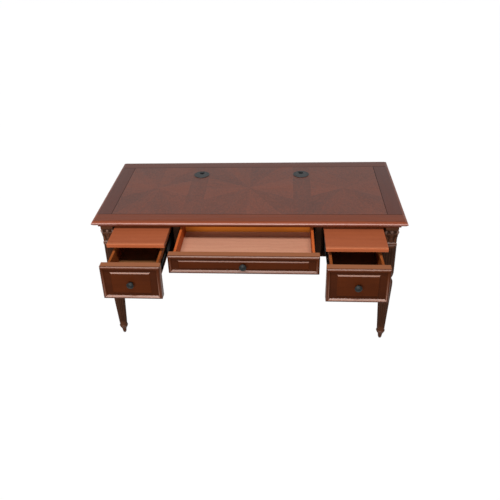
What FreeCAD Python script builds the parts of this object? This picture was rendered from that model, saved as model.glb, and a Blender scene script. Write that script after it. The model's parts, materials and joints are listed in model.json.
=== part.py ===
import FreeCAD
import Part
import math
import os

# A cherry writing desk on four turned legs, with three drawers and two writing slides drawn out.
# Millimetres. X runs to the right, the front faces -Y, Z is up, and the origin is on the floor
# under the middle of the top.

V = FreeCAD.Vector

# Top
top_width = 1575.0
top_depth = 762.0
desk_height = 757.0
board_thickness = 22.0
edge_bevel_run = 10.0
edge_bevel_drop = 6.0
nose_step = 3.0
cove_height = 18.0
cove_inset = 11.0
cove_fillet = 2.0
cove_width = 75.0
front_rail_width = 89.0
back_rail_width = 86.0
side_rail_width = 89.0
stringing_width = 2.5
stringing_depth = 1.5

# Cord grommets
grommet_batten_gap = 9.0
grommet_from_back = 189.0
grommet_bore = 80.0
grommet_flange_width = 4.0
grommet_flange_height = 2.5
grommet_wall = 3.0
grommet_depth = 30.0
grommet_ledge_width = 4.0
grommet_ledge_height = 3.0
cap_thickness = 3.0
cap_clearance = 0.4
cap_seat_gap = 0.2
cord_notch_width = 26.0
cord_notch_length = 34.0

# Legs
leg_overhang = 35.0
abacus_width = 64.0
abacus_height = 42.0
bell_height = 51.0
bell_top_width = 62.0
bell_foot_width = 53.0
collar_height = 20.0
collar_width = 60.0
shaft_radius = 36.0
shaft_length = 154.0
shaft_round = 49.0
neck_radius = 22.0
neck_length = 7.0
shoulder_height = 31.0
taper_radius = 35.8
ankle_radius = 21.0
cuff_radius = 23.3
cuff_top_height = 18.0
cuff_cone_height = 22.0
peg_height = 26.0
peg_radius = 13.0
peg_tip_radius = 9.5
glide_height = 4.0
glide_radius = 7.0

# Aprons, dividers and posts
apron_thickness = 20.0
apron_height = 220.0
apron_setback = 21.0
apron_tenon = 14.0
apron_panel_margin = 40.0
apron_panel_recess = 6.0
apron_panel_bevel = 9.0
divider_thickness = 32.0
divider_height = 203.0
post_depth = 35.0
centre_opening = 696.0
batten_thickness = 53.5
runner_packing = 10.0
dust_board_thickness = 8.0
top_batten_overhang = 14.0
corner_block_leg = 60.0
corner_block_height = 90.0
screw_radius = 2.0
screw_head_radius = 4.0
screw_head_height = 2.5
screw_grip = 12.0
screw_inset = 5.0
screw_end_margin = 58.0
screws_per_batten = 4

# Drawer fronts
front_thickness = 46.0
front_setback = 0.5
closed_gap = 1.0
front_gap = 1.5
centre_front_height = 97.0
centre_front_overlap = 19.7
side_front_height = 180.5
side_front_overlap = 19.7
bead_outer = 8.0
bead_crest = 3.0
bead_inner = 8.0
bead_depth = 8.0
panel_bevel = 8.0
panel_rise = 6.0
panel_margin_side = 52.0
centre_panel_margin = 31.0
side_panel_margin = 40.0

# Drawer boxes
box_wall = 12.0
bottom_thickness = 6.0
groove_depth = 6.0
groove_height = 5.0
centre_box_length = 336.0
centre_box_drop = 8.0
centre_box_height = 80.0
side_box_length = 408.0
side_box_drop = 21.5
side_box_height = 96.0

# Drawer runners: a fixed rail, a middle member and a drawer member, nested
runner_thickness = 12.7
runner_height = 45.0
runner_sheet = 1.5
runner_clearance = 0.4
runner_tail = 6.0
runner_web_gap = 1.5
runner_nest_gap = 0.7
runner_rail_gap = 3.7
runner_lead = 2.0

# Writing slides and their guide channels
slide_gap = 4.0
slide_post_gap = 6.5
slide_leg_gap = 11.0
slide_thickness = 20.0
slide_length = 400.0
slide_lip_depth = 19.0
slide_lip_round = 4.0
guide_clearance = 0.3
guide_lap = 8.0
guide_ledge = 7.7
guide_length = 380.0

# Knobs
knob_radius = 17.5
knob_dome = 8.0
knob_rose_radius = 9.0
knob_rose_height = 3.0
knob_neck_radius = 6.0
knob_neck_length = 8.0
knob_rim = 7.0
stud_radius = 2.5
stud_tail = 4.0

# How far each moving part stands out in the rest pose
centre_drawer_open = 283.5
side_drawer_open = 349.5
left_slide_open = 177.0
right_slide_open = 200.0

# Levels and lines that follow from the sizes above
half_width = top_width / 2
half_depth = top_depth / 2
board_bottom = desk_height - board_thickness
case_top = board_bottom - cove_height
nose_radius = (board_thickness - edge_bevel_drop - nose_step) / 2
leg_x = half_width - leg_overhang - abacus_width / 2
leg_y = half_depth - leg_overhang - abacus_width / 2
leg_half = max(abacus_width / 2, bell_top_width / 2, collar_width / 2, shaft_radius)
leg_inner_x = leg_x - leg_half
leg_inner_y = leg_y - leg_half
front_face = -(leg_y + shaft_radius - front_setback)
front_back = front_face + front_thickness
post_front = front_back + closed_gap
post_back = post_front + post_depth
apron_outer_x = leg_x + shaft_radius - apron_setback
apron_inner_x = apron_outer_x - apron_thickness
apron_outer_y = leg_y + shaft_radius - apron_setback
apron_inner_y = apron_outer_y - apron_thickness
apron_bottom = case_top - apron_height
divider_inner = centre_opening / 2
divider_outer = divider_inner + divider_thickness
top_batten_inner = divider_inner - top_batten_overhang
top_batten_outer = divider_outer + top_batten_overhang
grommet_x = top_batten_inner - grommet_batten_gap - grommet_bore / 2
batten_face = apron_inner_x - batten_thickness
centre_box_half = divider_inner - runner_thickness
packing_face = divider_outer + runner_packing
side_box_inner = packing_face + runner_thickness
side_box_outer = batten_face - runner_thickness
side_front_inner = side_box_inner - side_front_overlap
side_front_outer = side_box_outer + side_front_overlap
slide_top = case_top - slide_gap
slide_bottom = slide_top - slide_thickness
slide_inner = divider_outer + slide_post_gap
slide_outer = leg_inner_x - slide_leg_gap
guide_bottom = slide_bottom - guide_clearance - guide_ledge
centre_front_top = case_top - slide_gap
side_front_top = slide_bottom - front_gap
runner_start = max(post_back, -leg_inner_y) + runner_lead


def box(x0, x1, y0, y1, z0, z1):
    return Part.makeBox(x1 - x0, y1 - y0, z1 - z0, V(x0, y0, z0))


def mirrored(shape):
    return shape.mirror(V(0, 0, 0), V(1, 0, 0))


def group(shapes):
    return Part.makeCompound(shapes)


def save(name, shape):
    shape.exportStep("parts/" + name + ".step")


def upright_rectangle(x0, x1, z0, z1, y):
    return Part.makePolygon([V(x0, y, z0), V(x1, y, z0), V(x1, y, z1), V(x0, y, z1), V(x0, y, z0)])


def bevelled_block(x0, x1, z0, z1, y_wide, y_narrow, inset):
    """A block whose rectangle at y_wide shrinks by inset on all sides at y_narrow."""
    wide = upright_rectangle(x0, x1, z0, z1, y_wide)
    narrow = upright_rectangle(x0 + inset, x1 - inset, z0 + inset, z1 - inset, y_narrow)
    return Part.makeLoft([wide, narrow], True, True)


def turned(edges):
    """A solid turned about Z from edges in the XZ plane, given in order from axis to axis."""
    axis = Part.makeLine(edges[-1].Vertexes[-1].Point, edges[0].Vertexes[0].Point)
    return Part.Face(Part.Wire(edges + [axis])).revolve(V(0, 0, 0), V(0, 0, 1), 360)


def arc(a, middle, b):
    return Part.Arc(a, middle, b).toShape()


# Top

def edge_section(inner, outer):
    """Half of the top's section, from the middle out to the nose, as points in (across, up)."""
    bevel_start = outer - nose_radius - edge_bevel_run
    nose_top = desk_height - edge_bevel_drop
    nose_bottom = nose_top - 2 * nose_radius
    nose_centre = outer - nose_radius
    return [
        Part.makeLine(V(inner, board_bottom, 0), V(inner, desk_height, 0)),
        Part.makeLine(V(inner, desk_height, 0), V(bevel_start, desk_height, 0)),
        Part.makeLine(V(bevel_start, desk_height, 0), V(nose_centre, nose_top, 0)),
        arc(V(nose_centre, nose_top, 0), V(outer, nose_top - nose_radius, 0),
            V(nose_centre, nose_bottom, 0)),
        Part.makeLine(V(nose_centre, nose_bottom, 0), V(nose_centre, board_bottom, 0)),
        Part.makeLine(V(nose_centre, board_bottom, 0), V(inner, board_bottom, 0)),
    ]


def cove_section(inner, outer):
    """Half of the cove moulding's section as a solid block, from the middle out to its lip."""
    lip = outer - cove_inset
    radius = cove_height - cove_fillet
    foot = lip - radius
    bend = radius * (1 - 0.5 ** 0.5)
    return [
        Part.makeLine(V(inner, case_top, 0), V(inner, board_bottom, 0)),
        Part.makeLine(V(inner, board_bottom, 0), V(lip, board_bottom, 0)),
        arc(V(lip, board_bottom, 0), V(foot + bend, board_bottom - bend, 0),
            V(foot, case_top + cove_fillet, 0)),
        Part.makeLine(V(foot, case_top + cove_fillet, 0), V(foot, case_top, 0)),
        Part.makeLine(V(foot, case_top, 0), V(inner, case_top, 0)),
    ]


def moulded_slab(section):
    """A rectangular slab with the same moulded section on all four edges and mitred corners."""
    def prism(half_span, length):
        face = Part.Face(Part.Wire(section(0.0, half_span)))
        solid = face.extrude(V(0, 0, length))
        half = solid.fuse(solid.mirror(V(0, 0, 0), V(1, 0, 0))).removeSplitter()
        return half.translated(V(0, 0, -length / 2))
    across = prism(half_width, top_depth)
    across.rotate(V(0, 0, 0), V(1, 0, 0), 90)
    along = prism(half_depth, top_width)
    along.rotate(V(0, 0, 0), V(1, 0, 0), 90)
    along.rotate(V(0, 0, 0), V(0, 0, 1), 90)
    return across.common(along)


field_x = half_width - side_rail_width
field_front = -half_depth + front_rail_width
field_back = half_depth - back_rail_width
flat_x = half_width - nose_radius - edge_bevel_run


def stringing_strips():
    low = desk_height - stringing_depth
    front = box(-flat_x, flat_x, field_front - stringing_width, field_front, low, desk_height)
    back = box(-flat_x, flat_x, field_back, field_back + stringing_width, low, desk_height)
    right = box(field_x, field_x + stringing_width, field_front, field_back, low, desk_height)
    return [front, back, right, mirrored(right)]


def grommet_places():
    y = half_depth - grommet_from_back
    return {"left": V(-grommet_x, y, 0), "right": V(grommet_x, y, 0)}


def screw_places():
    rows = []
    reach = min(-field_front, field_back) - screw_end_margin
    spacing = 2 * reach / (screws_per_batten - 1)
    for side in (-1, 1):
        x = side * (top_batten_inner + screw_inset)
        for i in range(screws_per_batten):
            rows.append(V(x, -reach + i * spacing, 0))
    return rows


def screw_shanks():
    length = cove_height + screw_grip
    return [Part.makeCylinder(screw_radius, length, V(p.x, p.y, case_top)) for p in screw_places()]


def make_top():
    slab = moulded_slab(edge_section)
    strips = stringing_strips()
    reach = half_width
    pieces = {
        "desktop_field": box(-field_x, field_x, field_front, field_back, board_bottom, desk_height),
        "desktop_front_rail": box(-reach, reach, -half_depth, field_front, board_bottom, desk_height),
        "desktop_back_rail": box(-reach, reach, field_back, half_depth, board_bottom, desk_height),
        "desktop_left_rail": box(-reach, -field_x, field_front, field_back, board_bottom, desk_height),
        "desktop_right_rail": box(field_x, reach, field_front, field_back, board_bottom, desk_height),
    }
    for name, block in pieces.items():
        piece = slab.common(block)
        if name == "desktop_field":
            for place in grommet_places().values():
                bore = Part.makeCylinder(grommet_bore / 2, board_thickness, place + V(0, 0, board_bottom))
                piece = piece.cut(bore)
            piece = piece.cut(group(screw_shanks()))
        else:
            piece = piece.cut(group(strips))
        save(name, piece)
    save("inlay_stringing", group(strips))


def make_cove():
    slab = moulded_slab(cove_section)
    inner_x = half_width - cove_width
    inner_y = half_depth - cove_width
    ring = slab.cut(box(-inner_x, inner_x, -inner_y, inner_y, case_top, board_bottom))
    front_outline = [V(-half_width, -half_depth, case_top), V(half_width, -half_depth, case_top),
                     V(inner_x, -inner_y, case_top), V(-inner_x, -inner_y, case_top)]
    right_outline = [V(half_width, -half_depth, case_top), V(half_width, half_depth, case_top),
                     V(inner_x, inner_y, case_top), V(inner_x, -inner_y, case_top)]
    lengths = []
    for outline in (front_outline, right_outline):
        wedge = Part.Face(Part.makePolygon(outline + outline[:1])).extrude(V(0, 0, cove_height))
        length = ring.common(wedge)
        lengths.append(length)
        turned_round = length.copy()
        turned_round.rotate(V(0, 0, 0), V(0, 0, 1), 180)
        lengths.append(turned_round)
    save("cove_moulding", group(lengths))


# Cord grommets

def make_grommets():
    bore_radius = grommet_bore / 2
    flange_radius = bore_radius + grommet_flange_width
    inner_radius = bore_radius - grommet_wall
    flange_top = desk_height + grommet_flange_height
    ledge_top = flange_top - cap_thickness - cap_seat_gap
    ledge_bottom = ledge_top - grommet_ledge_height
    cap_bottom = ledge_top + cap_seat_gap
    cap_radius = inner_radius - cap_clearance
    notch_round = cord_notch_width / 2
    for side, place in grommet_places().items():
        x, y = place.x, place.y
        tube = Part.makeCylinder(bore_radius, grommet_depth, V(x, y, desk_height - grommet_depth))
        flange = Part.makeCylinder(flange_radius, grommet_flange_height, V(x, y, desk_height))
        hollow_high = Part.makeCylinder(inner_radius, flange_top - ledge_top, V(x, y, ledge_top))
        throat = Part.makeCylinder(inner_radius - grommet_ledge_width, flange_top, V(x, y, 0))
        hollow_low = Part.makeCylinder(inner_radius, ledge_bottom, V(x, y, 0))
        liner = tube.fuse(flange).cut(hollow_high).cut(throat).cut(hollow_low).removeSplitter()
        save(side + "_grommet_liner", liner)
        cap = Part.makeCylinder(cap_radius, cap_thickness, V(x, y, cap_bottom))
        notch_end = y + cap_radius - cord_notch_length + notch_round
        slot = box(x - notch_round, x + notch_round, notch_end, y + bore_radius, cap_bottom, flange_top)
        round_end = Part.makeCylinder(notch_round, cap_thickness, V(x, notch_end, cap_bottom))
        save(side + "_grommet_cap", cap.cut(slot).cut(round_end))


# Legs

def square_block(width, z0, z1):
    return box(-width / 2, width / 2, -width / 2, width / 2, z0, z1)


def square_outline(width, z):
    half = width / 2
    corners = [V(-half, -half, z), V(half, -half, z), V(half, half, z), V(-half, half, z)]
    return Part.makePolygon(corners + corners[:1])


def leg_solid():
    """One leg about the Z axis: glide end, peg, cuff, taper, neck, shaft, collar, bell and abacus."""
    abacus_bottom = case_top - abacus_height
    collar_top = abacus_bottom - bell_height
    collar_bottom = collar_top - collar_height
    shaft_bottom = collar_bottom - shaft_length
    neck_top = shaft_bottom - shaft_round
    neck_bottom = neck_top - neck_length
    taper_top = neck_bottom - shoulder_height
    cuff_bottom = glide_height + peg_height
    cuff_rim = cuff_bottom + cuff_cone_height
    cuff_top = cuff_rim + cuff_top_height

    def at(radius, z):
        return V(radius, 0, z)

    def shoulder(full_radius, z_full, z_neck):
        """The middle point of a quarter round from the full radius in to the neck."""
        half_way = 0.5 ** 0.5
        radius = neck_radius + (full_radius - neck_radius) * half_way
        return at(radius, z_full + (z_neck - z_full) * half_way)

    edges = [
        Part.makeLine(at(0, glide_height), at(peg_tip_radius, glide_height)),
        Part.makeLine(at(peg_tip_radius, glide_height), at(peg_radius, cuff_bottom)),
        Part.makeLine(at(peg_radius, cuff_bottom), at(cuff_radius, cuff_rim)),
        Part.makeLine(at(cuff_radius, cuff_rim), at(ankle_radius, cuff_top)),
        Part.makeLine(at(ankle_radius, cuff_top), at(taper_radius, taper_top)),
        arc(at(taper_radius, taper_top), shoulder(taper_radius, taper_top, neck_bottom),
            at(neck_radius, neck_bottom)),
        Part.makeLine(at(neck_radius, neck_bottom), at(neck_radius, neck_top)),
        arc(at(neck_radius, neck_top), shoulder(shaft_radius, shaft_bottom, neck_top),
            at(shaft_radius, shaft_bottom)),
        Part.makeLine(at(shaft_radius, shaft_bottom), at(shaft_radius, collar_bottom)),
        Part.makeLine(at(shaft_radius, collar_bottom), at(0, collar_bottom)),
    ]
    collar = square_block(collar_width, collar_bottom, collar_top)
    bell = Part.makeLoft([square_outline(bell_foot_width, collar_top), square_outline(bell_top_width, abacus_bottom)],
                         True, True)
    abacus = square_block(abacus_width, abacus_bottom, case_top)
    return turned(edges).fuse(collar).fuse(bell).fuse(abacus)


def end_apron_blank():
    reach = leg_y - shaft_radius + apron_tenon
    return box(apron_inner_x, apron_outer_x, -reach, reach, apron_bottom, case_top)


def back_apron_blank():
    reach = leg_x - shaft_radius + apron_tenon
    return box(-reach, reach, apron_inner_y, apron_outer_y, apron_bottom, case_top)


def make_legs():
    leg = leg_solid()
    housings = group([end_apron_blank(), mirrored(end_apron_blank()), back_apron_blank()])
    glides = []
    for row, y in (("front", -leg_y), ("back", leg_y)):
        for side, x in (("left", -leg_x), ("right", leg_x)):
            save("leg_" + row + "_" + side, leg.translated(V(x, y, 0)).cut(housings))
            glides.append(Part.makeCylinder(glide_radius, glide_height, V(x, y, 0)))
    save("foot_glides", group(glides))


# Aprons, dividers and posts

def recessed_panel(x0, x1, z0, z1, face, depth, bevel):
    """The hollow of a panel moulding sunk from face into +Y: sloping sides and a flat floor."""
    return bevelled_block(x0, x1, z0, z1, face, face + depth, bevel)


def make_aprons():
    z0 = apron_bottom + apron_panel_margin
    z1 = case_top - apron_panel_margin
    end_sink = recessed_panel(-leg_inner_y + apron_panel_margin, leg_inner_y - apron_panel_margin, z0, z1,
                              -apron_outer_x, apron_panel_recess, apron_panel_bevel)
    end_sink.rotate(V(0, 0, 0), V(0, 0, 1), 90)
    end_apron = end_apron_blank().cut(end_sink)
    save("right_end_apron", end_apron)
    save("left_end_apron", mirrored(end_apron))

    bay_lines = [(-leg_inner_x, -divider_outer), (-divider_inner, divider_inner),
                 (divider_outer, leg_inner_x)]
    back = back_apron_blank()
    for x0, x1 in bay_lines:
        sink = recessed_panel(x0 + apron_panel_margin, x1 - apron_panel_margin, z0, z1,
                              -apron_outer_y, apron_panel_recess, apron_panel_bevel)
        sink.rotate(V(0, 0, 0), V(0, 0, 1), 180)
        back = back.cut(sink)
    save("back_apron", back)


def make_frame():
    bottom = case_top - divider_height
    divider = box(divider_inner, divider_outer, post_back, apron_inner_y, bottom, case_top)
    post = box(divider_inner, divider_outer, post_front, post_back, bottom, case_top)
    save("right_divider", divider)
    save("left_divider", mirrored(divider))
    save("right_post", post)
    save("left_post", mirrored(post))

    dust_top = bottom + dust_board_thickness
    dust_board = box(divider_outer, batten_face, post_front, apron_inner_y, bottom, dust_top)
    save("dust_boards", group([dust_board, mirrored(dust_board)]))

    batten = box(batten_face, apron_inner_x, -leg_inner_y, leg_inner_y, bottom, guide_bottom)
    packing_strip = box(divider_outer, packing_face, post_back, apron_inner_y, dust_top, guide_bottom)
    save("runner_battens", group([batten, mirrored(batten), packing_strip, mirrored(packing_strip)]))

    cove_inner = half_depth - cove_width
    packing = box(top_batten_inner, top_batten_outer, -cove_inner, cove_inner, case_top, board_bottom)
    shanks = screw_shanks()
    save("top_battens", group([p.cut(group(shanks)) for p in (packing, mirrored(packing))]))

    screws = []
    for shank, p in zip(shanks, screw_places()):
        seat = V(p.x, p.y, case_top - screw_head_height)
        head = Part.makeCylinder(screw_head_radius, screw_head_height, seat)
        screws.append(shank.fuse(head))
    save("top_screws", group(screws))

    corner = V(min(batten_face, leg_inner_x), apron_inner_y, case_top - corner_block_height)
    outline = [corner, corner + V(-corner_block_leg, 0, 0), corner + V(0, -corner_block_leg, 0)]
    block = Part.Face(Part.makePolygon(outline + outline[:1])).extrude(V(0, 0, corner_block_height))
    save("corner_blocks", group([block, mirrored(block)]))


# Drawer runners

def runner_profile(length, start):
    """The three nested members of one runner on a case face at x = 0, reaching to x = runner_thickness."""
    def channel(x0, x1, height, web_at_low):
        half = height / 2
        gap = half - runner_sheet
        end = start + length
        outer = box(x0, x1, start, end, -half, half)
        if web_at_low:
            return outer.cut(box(x0 + runner_sheet, x1, start, end, -gap, gap))
        return outer.cut(box(x0, x1 - runner_sheet, start, end, -gap, gap))
    step = 2 * (runner_sheet + runner_clearance)
    middle_start = runner_sheet + runner_web_gap
    middle_end = runner_thickness - runner_sheet - runner_nest_gap
    slider_start = middle_start + runner_sheet + runner_nest_gap
    rail = channel(0, runner_thickness - runner_rail_gap, runner_height, True)
    middle = channel(middle_start, middle_end, runner_height - step, True)
    slider = channel(slider_start, runner_thickness, runner_height - 2 * step, False)
    return rail, middle, slider


def make_runners(name, faces, height, length, opened):
    """Runners on two case faces: (x, direction) pairs, the direction pointing to the drawer."""
    rails, middles, sliders = [], [], []
    for x, direction in faces:
        members = runner_profile(length, runner_start)
        if direction < 0:
            members = [mirrored(m) for m in members]
        rail, middle, slider = [m.translated(V(x, 0, height)) for m in members]
        rails.append(rail)
        middles.append(middle.translated(V(0, -opened / 2, 0)))
        sliders.append(slider.translated(V(0, -opened, 0)))
    save(name + "_runner_rails", group(rails))
    save(name + "_runner_links", group(middles))
    save(name + "_drawer_runners", group(sliders))


# Drawers

def moulded_front(x0, x1, z0, z1, margin_z, y):
    """A drawer front whose bead crest is at y: a bead along the edges, a sunk field and a raised panel."""
    field = y + bead_depth
    inset = bead_outer + bead_crest
    board = box(x0, x1, field, y + front_thickness, z0, z1)
    raised = bevelled_block(x0, x1, z0, z1, field, y, bead_outer)
    sink = bevelled_block(x0 + inset, x1 - inset, z0 + inset, z1 - inset, y, field, bead_inner)
    panel = bevelled_block(x0 + panel_margin_side - panel_bevel, x1 - panel_margin_side + panel_bevel,
                           z0 + margin_z - panel_bevel, z1 - margin_z + panel_bevel,
                           field, field - panel_rise, panel_bevel)
    return board.fuse([raised.cut(sink), panel]).removeSplitter()


def knob_solid():
    """A mushroom knob about the Z axis, its rose at z = 0 and its stud below."""
    def at(radius, z):
        return V(radius, 0, z)
    stud_end = -(front_thickness - bead_depth + panel_rise) - stud_tail
    neck_top = knob_rose_height + knob_neck_length
    rim_z = neck_top + knob_rim
    knob_end = rim_z + knob_dome
    dome_radius = (knob_radius ** 2 + knob_dome ** 2) / (2 * knob_dome)
    half_angle = math.asin(knob_radius / dome_radius) / 2
    dome = at(dome_radius * math.sin(half_angle), knob_end - dome_radius * (1 - math.cos(half_angle)))
    return turned([
        Part.makeLine(at(0, stud_end), at(stud_radius, stud_end)),
        Part.makeLine(at(stud_radius, stud_end), at(stud_radius, 0)),
        Part.makeLine(at(stud_radius, 0), at(knob_rose_radius, 0)),
        Part.makeLine(at(knob_rose_radius, 0), at(knob_rose_radius, knob_rose_height)),
        Part.makeLine(at(knob_rose_radius, knob_rose_height), at(knob_neck_radius, knob_rose_height)),
        Part.makeLine(at(knob_neck_radius, knob_rose_height), at(knob_neck_radius, neck_top)),
        Part.makeLine(at(knob_neck_radius, neck_top), at(knob_radius, rim_z)),
        arc(at(knob_radius, rim_z), dome, at(0, knob_end)),
    ])


def make_drawer(name, front_box, box_x, box_z, length, margin_z, opened):
    """One drawer: its moulded front, box and knob, drawn out by the opened distance."""
    x0, x1, z0, z1 = front_box
    bx0, bx1 = box_x
    bz0, bz1 = box_z
    face = front_face - opened
    rear = front_back - opened
    end = rear + length
    bottom = box(bx0 + box_wall - groove_depth, bx1 - box_wall + groove_depth, rear - groove_depth, end,
                 bz0 + groove_height, bz0 + groove_height + bottom_thickness)
    middle_x = (x0 + x1) / 2
    middle_z = (z0 + z1) / 2
    seat = face + bead_depth - panel_rise
    knob = knob_solid()
    knob.rotate(V(0, 0, 0), V(1, 0, 0), 90)
    knob.translate(V(middle_x, seat, middle_z))
    bore_length = front_thickness + stud_tail
    bore = Part.makeCylinder(stud_radius, bore_length, V(middle_x, face, middle_z), V(0, 1, 0))
    bottom = bottom.cut(bore)
    front = moulded_front(x0, x1, z0, z1, margin_z, face)
    save(name + "_front", front.cut(bottom).cut(bore))
    save(name + "_left_side", box(bx0, bx0 + box_wall, rear, end, bz0, bz1).cut(bottom))
    save(name + "_right_side", box(bx1 - box_wall, bx1, rear, end, bz0, bz1).cut(bottom))
    save(name + "_back", box(bx0 + box_wall, bx1 - box_wall, end - box_wall, end,
                             bz0 + groove_height + bottom_thickness, bz1))
    save(name + "_bottom", bottom)
    save(name + "_knob", knob)


def make_drawers():
    runner_offset = runner_start - front_back
    z1 = centre_front_top
    z0 = z1 - centre_front_height
    box_top = z1 - centre_box_drop
    box_bottom = box_top - centre_box_height
    half = centre_box_half + centre_front_overlap
    make_drawer("centre_drawer", (-half, half, z0, z1), (-centre_box_half, centre_box_half),
                (box_bottom, box_top), centre_box_length, centre_panel_margin, centre_drawer_open)
    make_runners("centre", [(-divider_inner, 1), (divider_inner, -1)], (box_bottom + box_top) / 2,
                 centre_box_length - runner_offset - runner_tail, centre_drawer_open)

    z1 = side_front_top
    z0 = z1 - side_front_height
    box_top = z1 - side_box_drop
    box_bottom = box_top - side_box_height
    for name, sign in (("left", -1), ("right", 1)):
        front_x = sorted((sign * side_front_inner, sign * side_front_outer))
        box_x = sorted((sign * side_box_inner, sign * side_box_outer))
        make_drawer(name + "_drawer", (front_x[0], front_x[1], z0, z1), box_x, (box_bottom, box_top),
                    side_box_length, side_panel_margin, side_drawer_open)
        faces = [(sign * packing_face, sign), (sign * batten_face, -sign)]
        make_runners(name, faces, (box_bottom + box_top) / 2,
                     side_box_length - runner_offset - runner_tail, side_drawer_open)


# Writing slides

def make_slides():
    for name, sign, opened in (("left", -1, left_slide_open), ("right", 1, right_slide_open)):
        x0, x1 = sorted((sign * slide_inner, sign * slide_outer))
        lip_front = front_face - opened
        board_front = lip_front + slide_lip_depth
        board = box(x0, x1, board_front, board_front + slide_length, slide_bottom, slide_top)
        lip = box(x0, x1, lip_front, board_front, slide_bottom, slide_top)
        long_edges = [e for e in lip.Edges if e.Length > slide_thickness]
        front_edges = [e for e in long_edges if e.CenterOfMass.y < lip_front + slide_lip_depth / 2]
        save(name + "_slide_board", board)
        save(name + "_slide_lip", lip.makeFillet(slide_lip_round, front_edges))


def make_guides():
    low = slide_bottom - guide_clearance
    high = slide_top + guide_clearance
    guides = []
    inner_web = (divider_outer, slide_inner - guide_clearance, slide_inner + guide_lap)
    outer_web = (apron_inner_x, slide_outer + guide_clearance, slide_outer - guide_lap)
    for wall, web, lap in (inner_web, outer_web):
        x0, x1 = sorted((wall, lap))
        g0, g1 = sorted((web, lap))
        channel = box(x0, x1, -leg_inner_y, -leg_inner_y + guide_length, guide_bottom, case_top)
        channel = channel.cut(box(g0, g1, -leg_inner_y, -leg_inner_y + guide_length, low, high))
        guides += [channel, mirrored(channel)]
    save("slide_guides", group(guides))


os.makedirs("parts", exist_ok=True)
make_top()
make_cove()
make_grommets()
make_legs()
make_aprons()
make_frame()
make_drawers()
make_slides()
make_guides()
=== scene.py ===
import json
import math

import bmesh
import bpy
from mathutils import Matrix, Vector


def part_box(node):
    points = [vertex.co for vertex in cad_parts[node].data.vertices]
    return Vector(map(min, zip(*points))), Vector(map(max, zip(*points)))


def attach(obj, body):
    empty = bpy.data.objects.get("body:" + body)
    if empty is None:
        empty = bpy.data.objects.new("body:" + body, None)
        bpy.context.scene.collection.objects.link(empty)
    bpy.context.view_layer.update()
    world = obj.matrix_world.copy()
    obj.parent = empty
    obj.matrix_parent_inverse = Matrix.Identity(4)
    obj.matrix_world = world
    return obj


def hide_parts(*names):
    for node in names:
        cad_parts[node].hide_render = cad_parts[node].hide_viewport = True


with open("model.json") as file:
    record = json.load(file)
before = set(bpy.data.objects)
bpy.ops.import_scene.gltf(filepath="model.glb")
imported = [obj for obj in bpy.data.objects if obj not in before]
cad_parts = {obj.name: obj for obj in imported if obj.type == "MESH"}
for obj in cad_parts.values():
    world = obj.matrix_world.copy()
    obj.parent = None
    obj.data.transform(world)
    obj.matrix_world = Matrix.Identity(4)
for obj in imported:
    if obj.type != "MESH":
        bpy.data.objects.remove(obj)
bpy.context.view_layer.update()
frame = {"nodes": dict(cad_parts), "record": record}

# A cherry writing desk with turned legs, three drawers drawn out and two writing slides.
# Metres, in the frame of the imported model: the front faces -Y.

NODES = frame["nodes"]
BODY_OF = {node: body for body, nodes in frame["record"]["behaviour"]["bodies"].items() for node in nodes}
MM = 0.001
HAIR = 1e-6


# Small helpers for working in object and edit mode

def rest_hands():
    if bpy.context.object is not None and bpy.context.object.mode != "OBJECT":
        bpy.ops.object.mode_set(mode="OBJECT")
    bpy.ops.object.select_all(action="DESELECT")


def take(piece):
    rest_hands()
    piece.select_set(True)
    bpy.context.view_layer.objects.active = piece


def edit(piece):
    take(piece)
    bpy.ops.object.mode_set(mode="EDIT")


def done():
    bpy.ops.object.mode_set(mode="OBJECT")


def pick(piece, wanted, kind="verts"):
    """Selects the corners or faces of the piece in edit mode that the test wants."""
    mesh = bmesh.from_edit_mesh(piece.data)
    bpy.ops.mesh.select_mode(type={"verts": "VERT", "faces": "FACE"}[kind])
    for group in (mesh.verts, mesh.edges, mesh.faces):
        for part in group:
            part.select = False
    for part in getattr(mesh, kind):
        if wanted(part):
            part.select_set(True)
    bmesh.update_edit_mesh(piece.data)


def modify(piece, kind, **settings):
    take(piece)
    modifier = piece.modifiers.new(kind.lower(), kind)
    for name, value in settings.items():
        setattr(modifier, name, value)
    bpy.ops.object.modifier_apply(modifier=modifier.name)


def bevel(piece, width, segments, degrees):
    """Rounds the arrises that turn by more than the angle."""
    modify(piece, "BEVEL", width=width, segments=segments, limit_method="ANGLE",
           angle_limit=math.radians(degrees))


def smooth(piece, degrees):
    take(piece)
    bpy.ops.object.shade_smooth_by_angle(angle=math.radians(degrees))


def smooth_flat(piece, degrees):
    """Smooth shading that leaves the large faces flat."""
    smooth(piece, degrees)
    modify(piece, "WEIGHTED_NORMAL", weight=50, keep_sharp=True)


def outward(piece):
    """Merges doubled corners and turns all faces outward."""
    edit(piece)
    bpy.ops.mesh.select_all(action="SELECT")
    bpy.ops.mesh.remove_doubles(threshold=HAIR)
    bpy.ops.mesh.normals_make_consistent(inside=False)
    done()


def settle(piece):
    """Puts the piece's place into its mesh, with the object at the origin."""
    take(piece)
    bpy.ops.object.transform_apply(location=True, rotation=True, scale=True)


def join(name, pieces):
    rest_hands()
    for piece in pieces:
        piece.select_set(True)
    bpy.context.view_layer.objects.active = pieces[0]
    bpy.ops.object.join()
    pieces[0].name = name
    return pieces[0]


def twin(piece, name):
    copy = bpy.data.objects.new(name, piece.data.copy())
    bpy.context.scene.collection.objects.link(copy)
    return copy


def around(piece, angle, name):
    copy = twin(piece, name)
    copy.data.transform(Matrix.Rotation(angle, 4, "Z"))
    return copy


def dress(piece, material, nodes):
    """Gives a piece its finish and its body, and hides the nodes that it stands for."""
    piece.data.materials.clear()
    piece.data.materials.append(material)
    body = BODY_OF[nodes[0]]
    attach(piece, body)
    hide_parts(*nodes)
    return piece


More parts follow.
